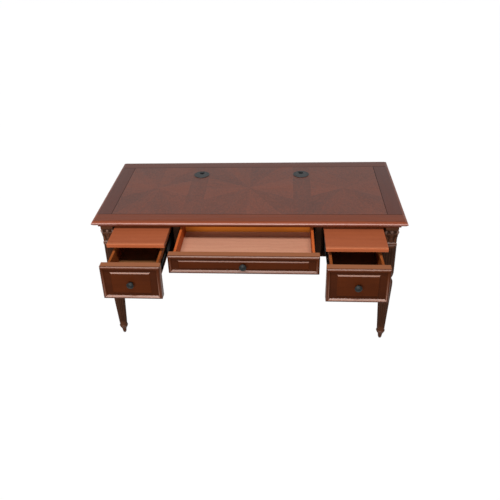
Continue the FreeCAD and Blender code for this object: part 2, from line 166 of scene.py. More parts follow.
def mark(piece, name, value_of):
    """Stores a value from 0 to 1 at each corner of a piece, for its finish to read."""
    layer = piece.data.attributes.new(name, "FLOAT", "POINT")
    for corner, store in zip(piece.data.vertices, layer.data):
        store.value = float(value_of(corner.co, corner.normal))


def climb(value, start, span):
    """0 up to the start, 1 from a span later on, and a straight climb between them."""
    return min(1.0, max(0.0, (value - start) / span))


# Finishes

class Nodes:
    """A shorthand for placing and wiring shader nodes in one tree."""

    COLOUR_A, COLOUR_B, COLOUR_OUT = 6, 7, 2
    VECTOR_A, VECTOR_B, VECTOR_OUT = 4, 5, 1

    def __init__(self, tree):
        self.tree = tree

    def add(self, kind, **settings):
        node = self.tree.nodes.new("ShaderNode" + kind)
        for name, value in settings.items():
            setattr(node, name, value)
        return node

    def wire(self, value, socket):
        """Links an output to the socket, or sets the socket to a plain value."""
        if isinstance(value, bpy.types.NodeSocket):
            self.tree.links.new(value, socket)
        elif value is not None:
            socket.default_value = value

    def feed(self, node, values):
        for name, value in values.items():
            self.wire(value, node.inputs[name])

    def place(self):
        return self.add("TexCoord").outputs["Object"]

    def stored(self, name):
        """A value that mark() has stored on the piece."""
        return self.add("Attribute", attribute_name=name).outputs["Fac"]

    def math(self, operation, a, b=None, c=None, clamp=False):
        node = self.add("Math", operation=operation, use_clamp=clamp)
        for value, socket in zip((a, b, c), node.inputs):
            self.wire(value, socket)
        return node.outputs[0]

    def sway(self, value, share, base, clamp=False):
        """The base, moved by a share of how far the value lies from one half."""
        return self.math("MULTIPLY_ADD", self.math("SUBTRACT", value, 0.5), share, base, clamp)

    def mix(self, factor, a, b, blend="MIX"):
        node = self.add("Mix", data_type="RGBA", blend_type=blend)
        self.wire(factor, node.inputs["Factor"])
        self.wire(a, node.inputs[self.COLOUR_A])
        self.wire(b, node.inputs[self.COLOUR_B])
        return node.outputs[self.COLOUR_OUT]

    def mix_vectors(self, factor, a, b):
        node = self.add("Mix", data_type="VECTOR")
        self.wire(factor, node.inputs["Factor"])
        self.wire(a, node.inputs[self.VECTOR_A])
        self.wire(b, node.inputs[self.VECTOR_B])
        return node.outputs[self.VECTOR_OUT]

    def combine(self, *values):
        """A vector made of two or three values."""
        node = self.add("CombineXYZ")
        for value, socket in zip(values, node.inputs):
            self.wire(value, socket)
        return node.outputs[0]

    def ramp(self, value, low, high):
        node = self.add("MapRange", interpolation_type="SMOOTHSTEP")
        self.feed(node, {"Value": value, "From Min": low, "From Max": high})
        return node.outputs["Result"]

    def stretch(self, vector, scale, rotation=(0, 0, 0)):
        node = self.add("Mapping")
        self.feed(node, {"Vector": vector, "Scale": scale, "Rotation": rotation})
        return node.outputs["Vector"]

    def noise(self, vector, scale, detail, rough, distortion=0.0):
        """Cloudy noise with a scale for each axis."""
        node = self.add("TexNoise")
        self.feed(node, {"Vector": self.stretch(vector, scale), "Scale": 1.0, "Detail": detail,
                         "Roughness": rough, "Distortion": distortion})
        return node.outputs["Fac"]

    def relief(self, shader, height, distance, strength):
        """Lets a height show as fine relief on the shader's surface."""
        node = self.add("Bump")
        self.feed(node, {"Distance": distance, "Strength": strength, "Height": height})
        self.wire(node.outputs["Normal"], shader.inputs["Normal"])


def group_tree(name, inputs, outputs):
    tree = bpy.data.node_groups.new(name, "ShaderNodeTree")
    for label, kind, default in inputs:
        socket = tree.interface.new_socket(label, in_out="INPUT", socket_type="NodeSocket" + kind)
        if default is not None:
            socket.default_value = default
    for label, kind in outputs:
        tree.interface.new_socket(label, in_out="OUTPUT", socket_type="NodeSocket" + kind)
    return tree, Nodes(tree), tree.nodes.new("NodeGroupInput"), tree.nodes.new("NodeGroupOutput")


def make_grain_group():
    """Fine straight wood figure along X: colour, height and roughness."""
    tree, n, start, end = group_tree(
        "cherry grain",
        [("Vector", "Vector", None), ("Pale", "Color", None), ("Deep", "Color", None),
         ("Figure", "Float", 0.5), ("Gloss", "Float", 0.35)],
        [("Color", "Color"), ("Height", "Float"), ("Roughness", "Float")])
    vector = start.outputs["Vector"]
    broad = n.noise(vector, (1.3, 9, 9), 3, 0.55, 0.6)
    streak = n.noise(vector, (5, 110, 110), 4, 0.6, 0.3)
    fine = n.noise(vector, (26, 700, 700), 3, 0.6)
    pores = n.ramp(n.noise(vector, (60, 900, 900), 2, 0.5), 0.60, 0.72)
    wave = n.add("TexWave", wave_type="BANDS", bands_direction="Y", wave_profile="SIN")
    n.feed(wave, {"Vector": n.stretch(vector, (0.35, 1.0, 1.0)), "Scale": 9.0, "Distortion": 7.0,
                  "Detail": 2.0, "Detail Scale": 1.2})
    rings = wave.outputs["Fac"]
    tone = 0.5
    for figure, share in ((broad, 1.5), (streak, 0.9), (fine, 0.35), (rings, 0.35)):
        tone = n.sway(figure, share, tone)
    tone = n.sway(tone, start.outputs["Figure"], 0.5, clamp=True)
    stain = n.mix(tone, start.outputs["Deep"], start.outputs["Pale"])
    dark = n.mix(0.55, stain, (0, 0, 0, 1))
    stain = n.mix(n.math("MULTIPLY", pores, 0.45), stain, dark)
    height = n.math("MULTIPLY_ADD", fine, 0.4, n.math("MULTIPLY", pores, -0.8))
    rough = n.math("MULTIPLY_ADD", pores, 0.10, n.sway(broad, 0.12, start.outputs["Gloss"]))
    n.feed(end, {"Color": stain, "Height": height, "Roughness": rough})
    return tree


def make_toning_and_shade_group():
    """Painted shade in the glaze colour where the surface is sunk, and soft cloudy toning of the stain."""
    tree, n, start, end = group_tree(
        "toning and painted shade",
        [("Vector", "Vector", None), ("Color", "Color", None), ("Sunk", "Float", 0.0),
         ("Glaze", "Color", None), ("Toning", "Float", 0.15)],
        [("Color", "Color")])
    vector = start.outputs["Vector"]
    cloud = n.noise(vector, (6, 6, 6), 4, 0.6)
    shade = n.math("MULTIPLY", n.ramp(cloud, 0.35, 0.75), start.outputs["Toning"])
    toned = n.mix(shade, start.outputs["Color"], start.outputs["Glaze"])
    edge = n.noise(vector, (40, 40, 40), 3, 0.6)
    sunk = n.math("MULTIPLY", start.outputs["Sunk"], n.math("MULTIPLY_ADD", edge, 0.5, 0.7), clamp=True)
    n.wire(n.mix(sunk, toned, start.outputs["Glaze"]), end.inputs["Color"])
    return tree


VENEER_LEAF_ANGLE = math.pi / 6
VENEER_SHEET_STEP = 0.013
DOUBLE_SHEEN = 0.55
FOURFOLD_SHEEN = 0.4
CHANCE_SHEEN = 1.1
BAND_SHADE = 0.7
JOINT_LINE = (0.4 * MM, 2.2 * MM)


def make_veneer_group():
    """Sunburst matched leaves about three centres, parted by two straight bands."""
    tree, n, start, end = group_tree(
        "sunburst veneer",
        [("Vector", "Vector", None), ("Bay", "Float", 0.508), ("Band Place", "Float", 0.286),
         ("Band Half", "Float", 0.047), ("Middle", "Float", 0.015)],
        [("Grain Vector", "Vector"), ("Tone", "Float"), ("Line", "Float")])
    parts = n.add("SeparateXYZ")
    n.wire(start.outputs["Vector"], parts.inputs[0])
    x, y = parts.outputs["X"], parts.outputs["Y"]
    across = n.math("ABSOLUTE", x)
    outer = n.math("GREATER_THAN", across, start.outputs["Band Place"])
    bay = n.math("MULTIPLY", outer, n.math("SIGN", x))
    centre = n.math("MULTIPLY", bay, start.outputs["Bay"])
    dx = n.math("SUBTRACT", x, centre)
    dy = n.math("SUBTRACT", y, start.outputs["Middle"])
    leaf = n.math("FLOOR", n.math("DIVIDE", n.math("ARCTAN2", dy, dx), VENEER_LEAF_ANGLE))
    bisector = n.math("MULTIPLY", n.math("ADD", leaf, 0.5), VENEER_LEAF_ANGLE)
    cosine = n.math("COSINE", bisector)
    sine = n.math("SINE", bisector)
    along = n.math("ADD", n.math("MULTIPLY", dx, cosine), n.math("MULTIPLY", dy, sine))
    beside = n.math("SUBTRACT", n.math("MULTIPLY", dy, cosine), n.math("MULTIPLY", dx, sine))
    odd = n.math("PINGPONG", leaf, 1.0)
    mirrored = n.math("MULTIPLY", beside, n.math("SUBTRACT", 1.0, n.math("MULTIPLY", 2.0, odd)))
    from_band = n.math("SUBTRACT", across, start.outputs["Band Place"])
    band = n.math("LESS_THAN", n.math("ABSOLUTE", from_band), start.outputs["Band Half"])
    sheet = n.math("MULTIPLY", n.math("ADD", centre, leaf), VENEER_SHEET_STEP)
    grain_vector = n.mix_vectors(band, n.combine(along, mirrored, sheet), n.combine(y, x))
    pick_one = n.add("TexWhiteNoise", noise_dimensions="2D")
    n.wire(n.combine(leaf, bay), pick_one.inputs["Vector"])
    # Painted sheen: each leaf is made lighter or darker by the direction of its grain, with a random share
    # for each leaf.
    double = n.math("COSINE", n.math("MULTIPLY", bisector, 2.0))
    fourfold = n.math("COSINE", n.math("MULTIPLY", bisector, 4.0))
    sheen = n.math("MULTIPLY_ADD", double, DOUBLE_SHEEN, n.math("MULTIPLY", fourfold, FOURFOLD_SHEEN))
    chance = n.math("MULTIPLY", n.math("SUBTRACT", pick_one.outputs["Value"], 0.5), CHANCE_SHEEN)
    leaves = n.math("MULTIPLY", n.math("ADD", sheen, chance), n.math("SUBTRACT", 1.0, band))
    tone = n.math("SUBTRACT", leaves, n.math("MULTIPLY", band, BAND_SHADE))
    joint = n.math("ABSOLUTE", n.math("SUBTRACT", n.math("ABSOLUTE", from_band), start.outputs["Band Half"]))
    line = n.math("SUBTRACT", 1.0, n.ramp(joint, *JOINT_LINE))
    n.feed(end, {"Grain Vector": grain_vector, "Tone": tone, "Line": line})
    return tree


GRAIN = make_grain_group()
TONING_AND_SHADE = make_toning_and_shade_group()
VENEER = make_veneer_group()
TURN = {"x": (0, 0, 0), "y": (0, 0, math.radians(90)), "z": (0, math.radians(90), 0)}
RUBBED_ROUGHNESS = 0.46
WOOD_RELIEF = 0.6
TOP_FIGURE = 0.32
LEAF_CONTRAST = 0.24
CLOUD_CONTRAST = 0.7
MOTTLE_CONTRAST = 1.4
JOINT_COLOUR = (0.01, 0.004, 0.002, 1)
JOINT_SHARE = 0.1


def colour(r, g, b):
    """A linear colour from sRGB numbers of 0 to 255."""
    def linear(c):
        c = c / 255
        return c / 12.92 if c <= 0.04045 else ((c + 0.055) / 1.055) ** 2.4
    return (linear(r), linear(g), linear(b), 1.0)


def blank_material(name):
    material = bpy.data.materials.new(name)
    material.use_nodes = True
    n = Nodes(material.node_tree)
    shader = material.node_tree.nodes["Principled BSDF"]
    return material, n, shader


def wood(name, pale, deep, axis, figure=0.5, gloss=0.45, shine=0.05, glaze=None, toning=0.15,
         bump=0.0002, worn=None, polish=0.45):
    """A stained and lacquered wood, its grain along one axis of the desk.

    worn is its colour where the stain has gone, also laid as a painted highlight on faces turned up to the
    lamps; polish is its shine where it is rubbed."""
    material, n, shader = blank_material(name)
    place = n.place()
    grain = n.add("Group", node_tree=GRAIN)
    n.feed(grain, {"Vector": n.stretch(place, (1, 1, 1), TURN[axis]), "Pale": pale, "Deep": deep,
                   "Figure": figure, "Gloss": gloss})
    finish = n.add("Group", node_tree=TONING_AND_SHADE)
    n.feed(finish, {"Vector": place, "Color": grain.outputs["Color"], "Glaze": glaze or deep,
                    "Toning": toning})
    stain = finish.outputs["Color"]
    rough = grain.outputs["Roughness"]
    shader.inputs["Specular IOR Level"].default_value = shine
    if worn:
        rubbed = n.stored("rubbed")
        # The sunk value draws painted shade into the hollows.
        n.wire(n.stored("sunk"), finish.inputs["Sunk"])
        n.wire(n.math("MULTIPLY_ADD", rubbed, polish - shine, shine), shader.inputs["Specular IOR Level"])
        rough = n.math("MULTIPLY_ADD", rubbed, n.math("SUBTRACT", RUBBED_ROUGHNESS, rough), rough)
        # Worn colour where the wear_and_highlight value says: wear, and a painted highlight on faces turned
        # up to the lamps.
        stain = n.mix(n.stored("wear_and_highlight"), stain, worn)
    n.feed(shader, {"Base Color": stain, "Roughness": rough})
    n.relief(shader, grain.outputs["Height"], bump, WOOD_RELIEF)
    return material


def veneered_top(name, pale, deep, gloss, shine):
    """The sunburst field of the top."""
    material, n, shader = blank_material(name)
    place = n.place()
    match = n.add("Group", node_tree=VENEER)
    n.wire(place, match.inputs["Vector"])
    grain = n.add("Group", node_tree=GRAIN)
    n.feed(grain, {"Vector": match.outputs["Grain Vector"], "Pale": pale, "Deep": deep,
                   "Figure": TOP_FIGURE, "Gloss": gloss})
    cloud = n.noise(place, (5, 5, 5), 4, 0.6)
    mottle = n.noise(place, (130, 70, 130), 3, 0.7)
    level = n.math("MULTIPLY_ADD", match.outputs["Tone"], LEAF_CONTRAST, 1.0)
    level = n.sway(cloud, CLOUD_CONTRAST, level)
    level = n.sway(mottle, MOTTLE_CONTRAST, level)
    shade = n.add("CombineColor")
    for socket in shade.inputs:
        n.wire(level, socket)
    toned = n.mix(1.0, grain.outputs["Color"], shade.outputs[0], "MULTIPLY")
    lined = n.mix(n.math("MULTIPLY", match.outputs["Line"], JOINT_SHARE), toned, JOINT_COLOUR)
    n.feed(shader, {"Base Color": lined, "Roughness": grain.outputs["Roughness"]})
    n.relief(shader, grain.outputs["Height"], 0.0001, 0.4)
    shader.inputs["Specular IOR Level"].default_value = shine
    return material


def metal(name, base, worn, rough, dents, dent_scale, metallic=0.85, shine=0.2):
    """A metal with dents, and spots rubbed paler."""
    material, n, shader = blank_material(name)
    place = n.place()
    cells = n.add("TexVoronoi", feature="SMOOTH_F1")
    n.feed(cells, {"Vector": place, "Scale": dent_scale})
    spots = n.noise(place, (90, 90, 90), 5, 0.65)
    n.wire(n.mix(n.ramp(spots, 0.48, 0.72), base, worn), shader.inputs["Base Color"])
    n.wire(n.math("MULTIPLY_ADD", spots, 0.25, rough - 0.12), shader.inputs["Roughness"])
    n.relief(shader, cells.outputs["Distance"], dents, 0.8)
    shader.inputs["Metallic"].default_value = metallic
    shader.inputs["Specular IOR Level"].default_value = shine
    return material


def plastic(name, base, scuffed, rough):
    """Moulded plastic with a faint texture and scuffs."""
    material, n, shader = blank_material(name)
    place = n.place()
    speck = n.noise(place, (900, 900, 900), 2, 0.5)
    scuff = n.ramp(n.noise(place, (60, 140, 60), 5, 0.7), 0.52, 0.75)
    n.wire(n.mix(n.math("MULTIPLY", scuff, 0.5), base, scuffed), shader.inputs["Base Color"])
    n.wire(n.math("MULTIPLY_ADD", scuff, 0.15, rough), shader.inputs["Roughness"])
    n.relief(shader, speck, 0.00005, 0.5)
    shader.inputs["Specular IOR Level"].default_value = 0.2
    return material


# The dark glaze colour, used for cloudy toning and for the painted shade in hollows.
DARK_GLAZE = colour(34, 16, 9)
# The worn colours below are bared wood and also painted highlights, laid on faces turned up to the lamps.
FINISH = {
    "top_veneer": veneered_top("top veneer", colour(95, 41, 17), colour(69, 27, 11), 0.42, 0.28),
    "rail_x": wood("border veneer along", colour(107, 47, 19), colour(85, 35, 14), "x", 0.5, 0.40, 0.16,
                   worn=colour(120, 60, 38), polish=1.0),
    "rail_back": wood("border veneer behind", colour(88, 38, 18), colour(66, 26, 12), "x", 0.5, 0.42, 0.24,
                      worn=colour(100, 46, 24), polish=0.5),
    "rail_y": wood("border veneer across", colour(77, 32, 17), colour(58, 21, 11), "y", 0.5, 0.42, 0.21,
                   worn=colour(110, 48, 24), polish=0.6),
    "inlay": wood("dark stringing", colour(10, 5, 3), colour(6, 3, 2), "x", 0.4, 0.6, 0.05),
    "moulding": wood("cove moulding", colour(92, 36, 12), colour(60, 22, 7), "x", 0.5, 0.45, 0.05),
    "leg_wood": wood("turned leg", colour(91, 54, 34), colour(58, 32, 20), "z", 0.6, 0.45, 0.04,
                     glaze=colour(22, 12, 7), toning=0.25, worn=colour(160, 126, 112)),
    "post_wood": wood("front post", colour(57, 35, 23), colour(35, 21, 13), "z", 0.6, 0.5, 0.03),
    "case_x": wood("case along", colour(80, 35, 19), colour(54, 22, 11), "x", 0.6, 0.42, 0.06, DARK_GLAZE),
    "case_y": wood("case across", colour(80, 35, 19), colour(54, 22, 11), "y", 0.6, 0.42, 0.06, DARK_GLAZE),
    "inner_y": wood("inner frame", colour(49, 30, 19), colour(30, 17, 10), "y", 0.6, 0.6, 0.03),
    "inner_z": wood("inner block", colour(49, 30, 19), colour(30, 17, 10), "z", 0.6, 0.6, 0.03),
    "front_wood": wood("drawer front", colour(70, 30, 10), colour(50, 19, 5), "x", 0.5, 0.40, 0.03,
                       DARK_GLAZE, 0.2, bump=0.00001, worn=colour(124, 76, 50), polish=0.9),
    "slide_wood": wood("writing slide", colour(148, 79, 49), colour(124, 62, 37), "x", 0.45, 0.5, 0.06),
    "lip_wood": wood("slide lip", colour(151, 79, 47), colour(127, 63, 36), "x", 0.45, 0.5, 0.06,
                     worn=colour(152, 86, 56)),
    "drawer_side": wood("drawer side", colour(186, 92, 42), colour(148, 66, 28), "y", 0.6, 0.5, 0.05),
    "drawer_back": wood("drawer back", colour(170, 95, 30), colour(133, 68, 19), "x", 0.6, 0.5, 0.05),
    "drawer_bottom": wood("drawer bottom", colour(201, 147, 120), colour(177, 121, 97), "x", 0.5, 0.6, 0.04),
    # The side drawers' linings are the centre drawer's woods recoloured as painted shade and light: darker
    # sides and bottom, a paler back.
    "deep_side": wood("deep drawer side", colour(146, 78, 36), colour(116, 58, 26), "y", 0.6, 0.6, 0.02),
    "deep_back": wood("deep drawer back", colour(212, 146, 90), colour(180, 118, 70), "x", 0.6, 0.6, 0.02),
    "deep_bottom": wood("deep drawer bottom", colour(144, 96, 60), colour(118, 77, 46), "x", 0.5, 0.6, 0.0),
    "runner_steel": metal("black runner steel", colour(10, 8, 7), colour(17, 14, 13), 0.5, 0.00002, 300,
                          metallic=0.0, shine=0.03),
    "screw_steel": metal("screw steel", colour(120, 118, 112), colour(176, 172, 164), 0.4, 0.00002, 500),
    "knob_metal": metal("knob pewter", colour(14, 16, 16), colour(34, 38, 37), 0.45, 0.0006, 140,
                        metallic=0.2),
    "grommet_plastic": plastic("grommet plastic", colour(36, 38, 39), colour(55, 56, 57), 0.5),
    "glide_plastic": plastic("glide plastic", colour(30, 28, 27), colour(60, 56, 52), 0.5),
}


# Boards, mouldings and fittings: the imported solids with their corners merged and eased

FLAT_DEGREES = 0.5
ARRIS_DEGREES = 35
RAIL_FACE = 0.8 * MM


def eased(node, finish, ease=0.9 * MM, segments=2):
    """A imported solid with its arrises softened, as sandpaper and lacquer leave them."""
    piece = twin(NODES[node], node + "_wood")
    edit(piece)
    bpy.ops.mesh.customdata_custom_splitnormals_clear()
    bpy.ops.mesh.select_all(action="SELECT")
    bpy.ops.mesh.remove_doubles(threshold=2 * HAIR)
    bpy.ops.mesh.dissolve_limited(angle_limit=math.radians(FLAT_DEGREES))
    done()
    bevel(piece, ease, segments, ARRIS_DEGREES)
    smooth_flat(piece, ARRIS_DEGREES)
    return dress(piece, FINISH[finish], [node])


def make_top():
    eased("desktop_field", "top_veneer", 0.15 * MM, 1)
    for name, finish in (("front", "rail_x"), ("back", "rail_back"), ("left", "rail_y"), ("right", "rail_y")):
        node = "desktop_" + name + "_rail"
        rail = eased(node, finish, 0.3 * MM)
        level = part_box(node)[1].z - RAIL_FACE
        mark(rail, "rubbed", lambda co, normal: co.z < level and -0.2 < normal.z < 0.85)
        # Painted highlight: the bevel and the nose, turned up toward the lamp, take the worn colour.
        mark(rail, "wear_and_highlight", lambda co, normal: co.z < level and 0.1 < normal.z < 0.98)
    eased("inlay_stringing", "inlay", 0.1 * MM, 1)
    eased("cove_moulding", "moulding", 0.4 * MM)
    for side in ("left", "right"):
        eased(side + "_grommet_liner", "grommet_plastic", 0.8 * MM, 3)
        eased(side + "_grommet_cap", "grommet_plastic", 0.8 * MM, 3)


def make_case():
    eased("back_apron", "case_x", 1.0 * MM)
    for side in ("left", "right"):
        eased(side + "_end_apron", "case_y", 1.0 * MM)
        eased(side + "_divider", "inner_y")
        eased(side + "_post", "post_wood", 1.5 * MM, 3)
    for node in ("runner_battens", "dust_boards", "slide_guides", "top_battens"):
        eased(node, "inner_y")
    eased("corner_blocks", "inner_z")
    eased("top_screws", "screw_steel", 0.4 * MM)
    eased("foot_glides", "glide_plastic", 1.2 * MM, 3)


def make_drawer_boxes():
    for name, lining in (("centre", "drawer"), ("left", "deep"), ("right", "deep")):
        drawer = name + "_drawer_"
        for side in ("left_side", "right_side"):
            eased(drawer + side, lining + "_side", 1.5 * MM, 3)
        eased(drawer + "back", lining + "_back", 1.5 * MM, 3)
        eased(drawer + "bottom", lining + "_bottom", 0.4 * MM)
        for node in (drawer + "runners", name + "_runner_rails", name + "_runner_links"):
            eased(node, "runner_steel", 0.3 * MM)


def make_slides():
    for name in ("left", "right"):
        eased(name + "_slide_board", "slide_wood", 0.8 * MM)
        lip = eased(name + "_slide_lip", "lip_wood", 1.4 * MM, 3)
        # Painted highlight: the lip's upward faces take the worn colour.
        mark(lip, "wear_and_highlight", lambda co, normal: normal.z > 0.6)


# Drawer fronts

BEAD_WIDTH = 19 * MM
BEAD_HEIGHT = 8 * MM
BEAD_STEPS = 10
BEAD_FULLNESS = 0.8
PANEL_SIDE = 52 * MM
PANEL_STEPS = 4
PANEL_STEEPNESS = 0.75
PANEL_LINE = 1.2 * MM
TOP_LINE = 7 * MM
FRONT_ARRIS = 0.8 * MM
FRONT_SKIN = 1.2 * MM
FIELD_INSET = 12 * MM
BEAD_MARGIN = 2 * MM
CREST_RISE = 1.5 * MM
SLOPE_RISE = 0.5 * MM
SLOPE_MARGIN = 0.4 * MM
FIELD_PAINTED_SHADE = 0.4
CREST_SHINE = 0.65
WEAR_AND_HIGHLIGHT_SHARE = 0.65


def make_front(name, margin, slope, foot_shine, panel_shine):
    """A mitred half-round bead round a sunk field, with a raised panel in the middle.

    foot_shine and panel_shine say how far the lower bead and the panel's upper slope are rubbed: more shine,
    and a share of painted highlight in the worn colour."""
    node = name + "_drawer_front"
    low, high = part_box(node)
    field_y = low.y + BEAD_HEIGHT
    size = Vector((high.x - low.x, high.y - field_y, high.z - low.z))
    middle = Vector(((low.x + high.x) / 2, (field_y + high.y) / 2, (low.z + high.z) / 2))
    rest_hands()
    bpy.ops.mesh.primitive_cube_add(size=1, location=middle)
    piece = bpy.context.object
    piece.name = name + "_drawer_moulded_front"
    piece.scale = size
    settle(piece)
    edit(piece)
    pick(piece, lambda face: face.normal.y < -0.9, "faces")
    last = 0.0
    for i in range(1, BEAD_STEPS + 1):
        swell = math.sin(math.pi * i / BEAD_STEPS) if i < BEAD_STEPS else 0.0
        height = BEAD_HEIGHT * swell ** BEAD_FULLNESS
        bpy.ops.mesh.inset(thickness=BEAD_WIDTH / BEAD_STEPS, depth=height - last)
        last = height
    bpy.ops.mesh.inset(thickness=margin - slope - BEAD_WIDTH, depth=0)
    foot = size.x / 2 - margin + slope
    bpy.ops.transform.resize(value=((foot + margin - PANEL_SIDE) / foot, 1, 1), center_override=middle)
    rise = PANEL_STEEPNESS * slope
    for i in range(PANEL_STEPS):
        bpy.ops.mesh.inset(thickness=slope / PANEL_STEPS, depth=rise / PANEL_STEPS)
    bpy.ops.mesh.inset(thickness=PANEL_LINE, depth=0)
    bpy.ops.mesh.select_all(action="SELECT")
    bpy.ops.mesh.bisect(plane_co=(0, field_y + TOP_LINE, 0), plane_no=(0, 1, 0))
    done()
    bevel(piece, FRONT_ARRIS, 2, 50)
    smooth_flat(piece, 30)

    def from_sides(co):
        return min(co.x - low.x, high.x - co.x)

    def from_ends(co):
        return min(co.z - low.z, high.z - co.z)

    def from_edge(co):
        return min(from_sides(co), from_ends(co))

    # Painted shade: the sunk field round the panel is darkened toward the glaze colour.
    def sunk(co, normal):
        on_field = abs(co.y - field_y) < FRONT_SKIN and from_edge(co) > FIELD_INSET
        return FIELD_PAINTED_SHADE if on_field else 0.0

    def rubbed(co, normal):
        if from_edge(co) < BEAD_WIDTH - BEAD_MARGIN and co.y < high.y - BEAD_MARGIN:
            if co.z <= middle.z:
                return foot_shine * climb(normal.z, -0.1, 0.4)
            proud = co.y < field_y - CREST_RISE
            return CREST_SHINE * climb(normal.z, 0.5, 0.3) if proud else 0.0
        inside = min(from_sides(co) - PANEL_SIDE, from_ends(co) - margin)
        on_slope = co.y < field_y - SLOPE_RISE and inside < SLOPE_MARGIN
        return panel_shine * climb(normal.z, 0.2, 0.3) if on_slope else 0.0

    # Painted highlight: the top face, and a share of the rubbed upward slopes, take the worn colour.
    def wear_and_highlight(co, normal):
        on_top = co.z > high.z - FRONT_SKIN and co.y > field_y + 0.8 * TOP_LINE
        return 1.0 if on_top else WEAR_AND_HIGHLIGHT_SHARE * rubbed(co, normal)

    mark(piece, "sunk", sunk)
    mark(piece, "rubbed", rubbed)
    mark(piece, "wear_and_highlight", wear_and_highlight)
    dress(piece, FINISH["front_wood"], [node])


# Turned work: rings drawn up from a circle

def turned(name, profile, sides):
    """Draws a ring up through (radius, height) steps, closed at both ends."""
    radius, height = profile[0]
    rest_hands()
    bpy.ops.mesh.primitive_circle_add(vertices=sides, radius=radius, fill_type="NGON",
                                      location=(0, 0, height))
    piece = bpy.context.object
    piece.name = name
    settle(piece)
    edit(piece)
    bpy.ops.mesh.select_all(action="SELECT")
    for wider, higher in profile[1:]:
        bpy.ops.mesh.extrude_region_move(TRANSFORM_OT_translate={"value": (0, 0, higher - height)})
        grow = wider / radius
        bpy.ops.transform.resize(value=(grow, grow, 1), center_override=(0, 0, higher))
        radius, height = wider, higher
    done()
    outward(piece)
    return piece


def squared(name, profile):
    """A moulding square in plan: a four-sided ring drawn up through (half width, height) steps."""
    piece = turned(name, [(half * math.sqrt(2), height) for half, height in profile], 4)
    piece.data.transform(Matrix.Rotation(math.pi / 4, 4, "Z"))
    bevel(piece, 1.4 * MM, 3, 62)
    outward(piece)
    return piece


def arc_steps(start, end, bulge, steps):
    """Points of a smooth bend from start to end, pushed out by bulge in the middle."""
    rows = []
    for i in range(1, steps + 1):
        t = i / steps
        r = start[0] + (end[0] - start[0]) * t + bulge * math.sin(math.pi * t)
        rows.append((r, start[1] + (end[1] - start[1]) * t))
    return rows


def straight_steps(start, end, steps):
    return arc_steps(start, end, 0.0, steps)


def round_steps(full, neck, z_full, z_neck, steps):
    """A quarter round from the full radius in to the neck, or out again when read backwards."""
    rows = []
    for i in range(1, steps + 1):
        a = math.pi / 2 * i / steps
        rows.append((neck + (full - neck) * math.cos(a), z_full + (z_neck - z_full) * math.sin(a)))
    return rows


# Legs

SHAFT = 36 * MM
SWELL = 35.8 * MM
NECK = 22 * MM
ANKLE = 21 * MM
CUFF = 23.3 * MM
PEG = 13 * MM
TIP = 9.5 * MM
BLOCK_HALF = 32 * MM
COLLAR_HALF = 30 * MM
BELL_TOP = 30 * MM
BELL_FOOT = 26.5 * MM
BELL_HOLLOW = 2.0 * MM
LEG_SIDES = 128
FLUTES = 16
FLUTE_DEPTH = 2.4 * MM
FLUTE_END = 10 * MM
FLUTE_FULLNESS = 0.6
LEVEL_MM = {"tip": 4, "peg": 30, "rim": 52, "ankle": 70, "taper": 363, "neck_low": 394, "neck_high": 401,
            "shaft": 450, "collar_low": 604, "collar_high": 624, "bell_top": 675, "block_low": 694,
            "block_high": 717}
LEVEL = {name: height * MM for name, height in LEVEL_MM.items()}


def points_near(radius, level, offsets):
    """Profile points at (outward, upward) offsets in millimetres from one radius and level."""
    return [(radius + out * MM, level + up * MM) for out, up in offsets]


def leg_profile():
    """Peg foot, cuff, taper, neck and shaft, up into the collar."""
    z = LEVEL
    rows = points_near(TIP, z["tip"], [(-2.5, 0), (-0.6, 1), (0, 3)])
    rows += straight_steps(rows[-1], (PEG, z["peg"]), 3)
    rows += arc_steps(rows[-1], (CUFF - 1.2 * MM, z["rim"] - 5 * MM), 0.8 * MM, 4)
    rows += points_near(CUFF, z["rim"], [(-0.2, -2.5), (0, 0), (-0.3, 2.5), (-1.6, 5), (-3.2, 7)])
    rows += arc_steps(rows[-1], (ANKLE, z["ankle"]), -0.8 * MM, 5)
    rows += straight_steps(rows[-1], (SWELL, z["taper"]), 28)
    rows += round_steps(SWELL, NECK, z["taper"], z["neck_low"], 10)
    rows += [(NECK - 0.4 * MM, (z["neck_low"] + z["neck_high"]) / 2), (NECK, z["neck_high"])]
    rows += reversed(round_steps(SHAFT, NECK, z["shaft"], z["neck_high"], 12)[:-1])
    rows += [(SHAFT, z["shaft"])]
    rows += straight_steps(rows[-1], (SHAFT - 0.8 * MM, z["collar_low"] - 4 * MM), 14)
    rows += points_near(SHAFT, z["collar_low"], [(-1.6, -1.5), (-4, 0)])
    rows += points_near(BELL_FOOT, z["collar_low"], [(-3, 2)])
    return rows


def flute(piece):
    """Hollows out the flutes of the taper and the shaft, with rounded ends."""
    z = LEVEL
    columns = LEG_SIDES // FLUTES
    hollow = [round(math.sin(math.pi * k / columns) ** FLUTE_FULLNESS, 4) for k in range(columns)]
    runs = ((z["ankle"] + FLUTE_END, z["taper"] + FLUTE_END),
            (z["shaft"] - FLUTE_END, z["collar_low"] - 8 * MM))
    step = 2 * math.pi / LEG_SIDES
    edit(piece)
    heights = sorted({round(v.co.z, 6) for v in bmesh.from_edit_mesh(piece.data).verts})
    for height in heights:
        reach = max(min(height - start, end - height) for start, end in runs)
        if reach <= 0.0:
            continue
        fade = climb(reach, 0.0, FLUTE_END) ** 0.5
        ring = [v for v in bmesh.from_edit_mesh(piece.data).verts if abs(v.co.z - height) < 2 * HAIR]
        radius = max(v.co.xy.length for v in ring)
        for depth in sorted(set(hollow) - {0.0}):
            def wanted(v):
                if abs(v.co.z - height) > 2 * HAIR:
                    return False
                column = round(math.atan2(v.co.y, v.co.x) / step) % LEG_SIDES % columns
                return hollow[column] == depth
            pick(piece, wanted)
            shrink = 1 - depth * fade * FLUTE_DEPTH / radius
            bpy.ops.transform.resize(value=(shrink, shrink, 1), center_override=(0, 0, height))
    done()


# Capitals of the legs

